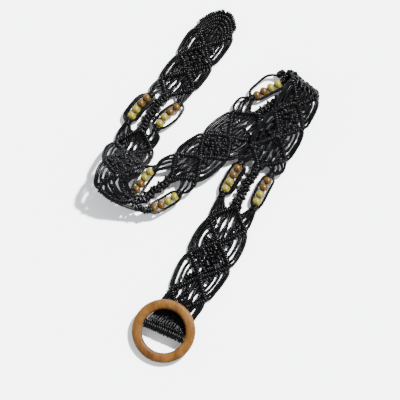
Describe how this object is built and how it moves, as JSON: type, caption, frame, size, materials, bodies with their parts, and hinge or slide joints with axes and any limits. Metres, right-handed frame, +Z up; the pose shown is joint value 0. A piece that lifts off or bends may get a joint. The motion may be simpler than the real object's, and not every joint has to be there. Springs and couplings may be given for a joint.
{
  "type": "woven rope belt",
  "caption": "Flat knotted cord belt with a diamond lattice, open side loops and beaded windows, laid in a zigzag, held on the hidden centre bar of a round wooden ring buckle.",
  "frame": {"origin": "under the middle of the laid belt's outline, on the surface it rests on", "axes": "+Z up from the surface; +Y towards the pointed tip and away from the ring; +X towards the second fold"},
  "size_m": [0.2646, 0.422, 0.0414],
  "materials": {
    "cord_black": "waxed cord, soft sheen",
    "bead_brown": "polished wood",
    "bead_yellow": "polished wood",
    "ring_wood": "oiled wood, satin"
  },
  "bodies": {
    "root": {"strap": "cord_black", "ring_buckle": "ring_wood", "bead_a_p_1": "bead_brown", "bead_a_p_2": "bead_brown", "bead_a_p_3": "bead_yellow", "bead_a_p_4": "bead_yellow", "bead_a_q_1": "bead_brown", "bead_a_q_2": "bead_brown", "bead_a_q_3": "bead_yellow", "bead_a_q_4": "bead_yellow", "bead_b_p_1": "bead_brown", "bead_b_p_2": "bead_brown", "bead_b_p_3": "bead_yellow", "bead_b_p_4": "bead_yellow", "bead_b_q_1": "bead_brown", "bead_b_q_2": "bead_brown", "bead_b_q_3": "bead_yellow", "bead_b_q_4": "bead_yellow", "bead_c_p_1": "bead_brown", "bead_c_p_2": "bead_brown", "bead_c_p_3": "bead_yellow", "bead_c_p_4": "bead_yellow", "bead_c_q_1": "bead_brown", "bead_c_q_2": "bead_brown", "bead_c_q_3": "bead_yellow", "bead_c_q_4": "bead_yellow", "bead_d_p_1": "bead_brown", "bead_d_p_2": "bead_brown", "bead_d_p_3": "bead_yellow", "bead_d_p_4": "bead_yellow", "bead_d_q_1": "bead_brown", "bead_d_q_2": "bead_brown", "bead_d_q_3": "bead_yellow", "bead_d_q_4": "bead_yellow"}
  },
  "joints": []
}
